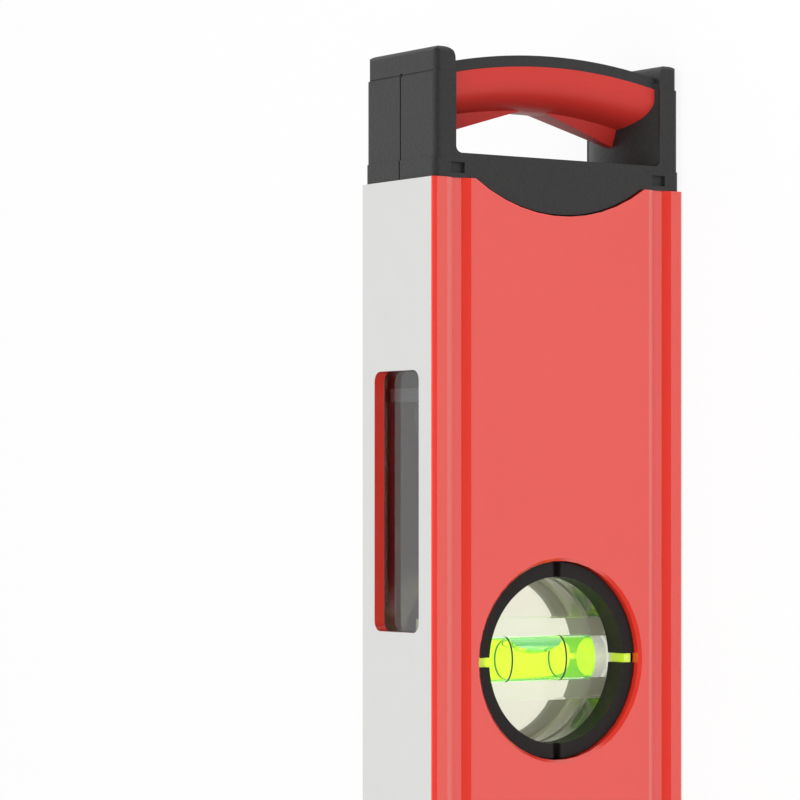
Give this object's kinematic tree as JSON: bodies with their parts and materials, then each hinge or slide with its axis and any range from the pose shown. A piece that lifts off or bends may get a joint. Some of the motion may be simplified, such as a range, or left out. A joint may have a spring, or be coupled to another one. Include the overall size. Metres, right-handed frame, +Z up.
{
  "type": "digital spirit level",
  "caption": "Box-section spirit level with electronic angle display, round plumb vials, an edge window and carrying handles in its end caps.",
  "frame": {"origin": "centre of the lower milled edge, the measuring face", "axes": "X along the level with the windowed plumb vial at +X, Y across its thickness with the display facing -Y, Z up"},
  "size_m": [0.5992, 0.0267, 0.06],
  "materials": {
    "red_coat": "satin powder coat, edge faces milled bare",
    "black_moulding": "grained",
    "red_grip": "smooth, glossy",
    "ring_black": "smooth",
    "clear_acrylic": "polished",
    "level_fluid": "clear fluorescent liquid",
    "mark_black": "printed",
    "plug_white": "smooth",
    "mirror_face": "polished",
    "display_plastic": "matt liquid crystal panel",
    "button_grey": "soft matt",
    "board_green": "solder resist",
    "chip_black": "moulded",
    "cell_jacket": "plain jacket",
    "contact_metal": "bright plate",
    "screw_steel": "zinc plated"
  },
  "bodies": {
    "level": {"battery_cells": "cell_jacket", "battery_contacts": "contact_metal", "buzzer": "chip_black", "circuit_board": "board_green", "display_lens": "clear_acrylic", "display_panel": "display_plastic", "end_cap_left": "black_moulding", "end_cap_right": "black_moulding", "grip_left": "red_grip", "grip_right": "red_grip", "level_block": "clear_acrylic", "level_holder": "black_moulding", "level_liquid": "level_fluid", "level_marks": "mark_black", "level_plug": "plug_white", "mirror": "mirror_face", "mirror_bracket": "black_moulding", "module_front": "black_moulding", "module_rear": "black_moulding", "module_screws": "screw_steel", "plumb_body_left": "clear_acrylic", "plumb_body_right": "clear_acrylic", "plumb_liquid_left": "level_fluid", "plumb_liquid_right": "level_fluid", "plumb_marks_left": "mark_black", "plumb_marks_right": "mark_black", "plumb_plug_left": "plug_white", "plumb_plug_right": "plug_white", "plumb_ring_front_left": "ring_black", "plumb_ring_front_right": "ring_black", "plumb_ring_rear_left": "ring_black", "plumb_ring_rear_right": "ring_black", "profile": "red_coat", "switches": "chip_black", "tilt_sensor": "chip_black", "window_pane": "clear_acrylic"},
    "button_power": {"button_power": "button_grey"},
    "button_hold": {"button_hold": "button_grey"},
    "button_unit": {"button_unit": "button_grey"},
    "button_light": {"button_light": "button_grey"},
    "battery_door": {"battery_door": "black_moulding"}
  },
  "joints": [
    {"name": "power_press", "type": "slide", "parent": "level", "child": "button_power", "axis": [0, 1, 0], "range_m": [0, 0.0008], "stiffness_N_per_m": 500, "springref_m": -0.0004},
    {"name": "hold_press", "type": "slide", "parent": "level", "child": "button_hold", "axis": [0, 1, 0], "range_m": [0, 0.0008], "stiffness_N_per_m": 500, "springref_m": -0.0004},
    {"name": "unit_press", "type": "slide", "parent": "level", "child": "button_unit", "axis": [0, 1, 0], "range_m": [0, 0.0008], "stiffness_N_per_m": 500, "springref_m": -0.0004},
    {"name": "light_press", "type": "slide", "parent": "level", "child": "button_light", "axis": [0, 1, 0], "range_m": [0, 0.0008], "stiffness_N_per_m": 500, "springref_m": -0.0004},
    {"name": "door_hinge", "type": "hinge", "parent": "level", "child": "battery_door", "pos_m": [0.032, 0.01175, 0.0185], "axis": [-1, 0, 0], "range_deg": [0, 90]}
  ]
}
